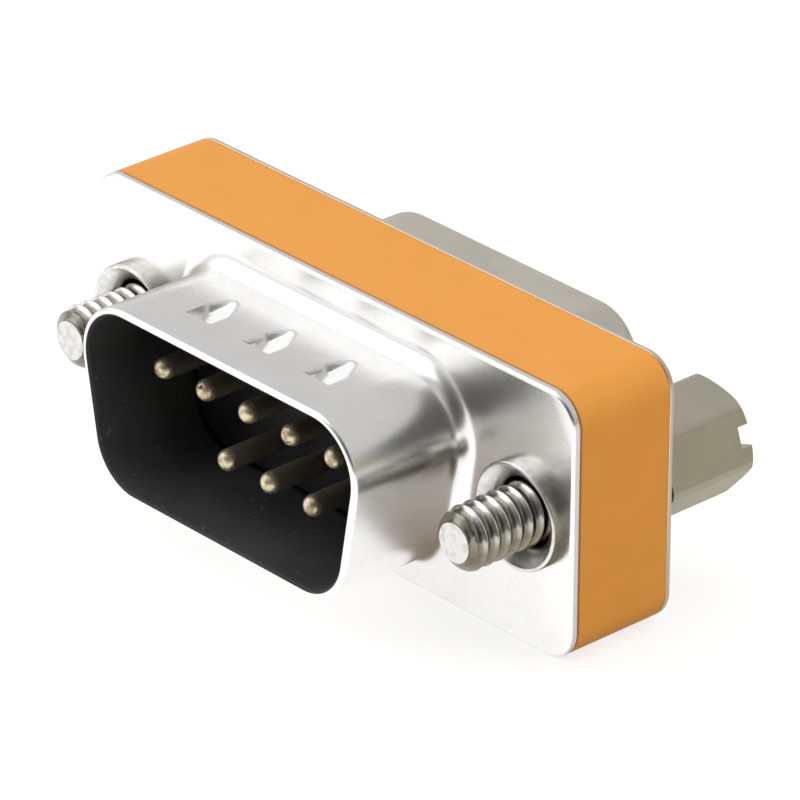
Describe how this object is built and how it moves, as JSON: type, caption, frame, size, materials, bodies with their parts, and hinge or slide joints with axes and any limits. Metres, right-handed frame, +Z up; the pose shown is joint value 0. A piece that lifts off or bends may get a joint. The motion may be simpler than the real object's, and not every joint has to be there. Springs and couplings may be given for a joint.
{
  "type": "null modem gender changer",
  "caption": "Slim in-line D-subminiature null modem adapter: pin plug in front, socket behind, thin plastic body between metal flanges, captive jackscrews with hex posts.",
  "frame": {"origin": "middle of the flat underside, half way through the plastic body", "axes": "+X along the long side, -Y out of the plug, +Y out of the socket, +Z up towards the wide side of both D shapes"},
  "size_m": [0.0308, 0.0173, 0.0126],
  "materials": {
    "tinned_steel": "satin tin plate on drawn sheet",
    "orange_plastic": "smooth moulded plastic",
    "black_plastic": "smooth moulded plastic",
    "circuit_board": "laminate with solder mask",
    "nickel_plate": "nickel plate",
    "nickel_screw": "nickel plate on turned brass",
    "gold_plate": "thin gold plate"
  },
  "bodies": {
    "adapter": {"front_shell": "tinned_steel", "spacer_body": "orange_plastic", "rear_shell": "tinned_steel", "front_insulator": "black_plastic", "rear_insulator": "black_plastic", "crossover_board": "circuit_board", "eyelet_left": "nickel_plate", "eyelet_right": "nickel_plate", "pin_1": "gold_plate", "pin_2": "gold_plate", "pin_3": "gold_plate", "pin_4": "gold_plate", "pin_5": "gold_plate", "pin_7": "gold_plate", "pin_8": "gold_plate", "pin_9": "gold_plate", "contact_1": "gold_plate", "contact_2": "gold_plate", "contact_3": "gold_plate", "contact_4": "gold_plate", "contact_5": "gold_plate", "contact_6": "gold_plate", "contact_7": "gold_plate", "contact_8": "gold_plate", "contact_9": "gold_plate"},
    "left_jackscrew": {"jackscrew_left": "nickel_screw"},
    "right_jackscrew": {"jackscrew_right": "nickel_screw"}
  },
  "joints": [
    {"name": "left_turn", "type": "hinge", "parent": "adapter", "child": "left_jackscrew", "pos_m": [-0.01249, 0, 0.00628], "axis": [0, 1, 0], "continuous": true},
    {"name": "right_turn", "type": "hinge", "parent": "adapter", "child": "right_jackscrew", "pos_m": [0.01249, 0, 0.00628], "axis": [0, 1, 0], "continuous": true}
  ]
}
